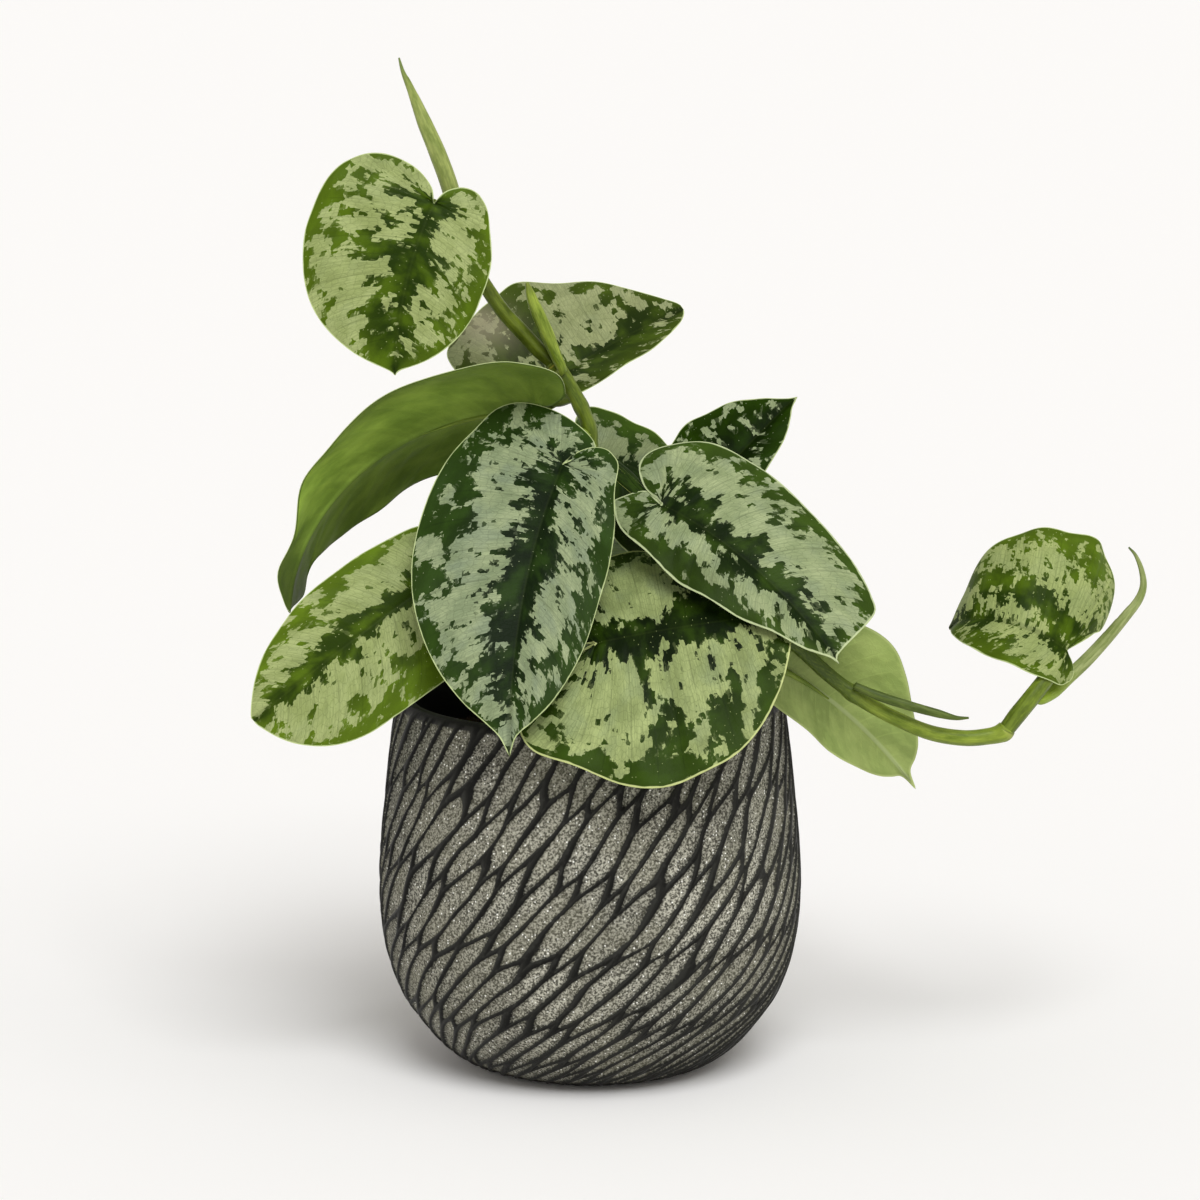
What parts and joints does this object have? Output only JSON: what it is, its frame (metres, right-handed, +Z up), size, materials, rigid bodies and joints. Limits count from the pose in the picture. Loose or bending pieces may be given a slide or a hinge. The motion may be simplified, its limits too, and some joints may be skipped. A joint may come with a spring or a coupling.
{
  "type": "potted satin pothos",
  "caption": "Bushy satin pothos with silver-blotched heart-shaped leaves, arching vines and rolled new leaves, in a round dark pot with a slanting net relief.",
  "frame": {"origin": "centre of the pot's flat base, on the surface it stands on", "axes": "+Z up along the pot's axis, -Y towards the front of the plant, +X to the right seen from the front, the side of the long low vine"},
  "size_m": [0.3009, 0.1942, 0.3467],
  "materials": {
    "pot": "matte",
    "soil": "matte",
    "leaf": "satin",
    "new_leaf": "satin",
    "stem": "satin"
  },
  "bodies": {
    "root": {"bract_right": "stem", "bract_upper": "stem", "leaf_centre_back": "leaf", "leaf_front": "leaf", "leaf_front_low": "leaf", "leaf_left_arching": "leaf", "leaf_left_low": "leaf", "leaf_rear_centre": "leaf", "leaf_rear_left": "leaf", "leaf_rear_low": "leaf", "leaf_rear_right": "leaf", "leaf_right_back": "leaf", "leaf_right_front": "leaf", "leaf_right_low": "leaf", "leaf_right_tip": "leaf", "leaf_upper_back": "leaf", "leaf_upper_left": "leaf", "new_leaf_right": "new_leaf", "new_leaf_upper": "new_leaf", "pot": "pot", "soil": "soil", "vine_right": "stem", "vine_upper": "stem"}
  },
  "joints": []
}
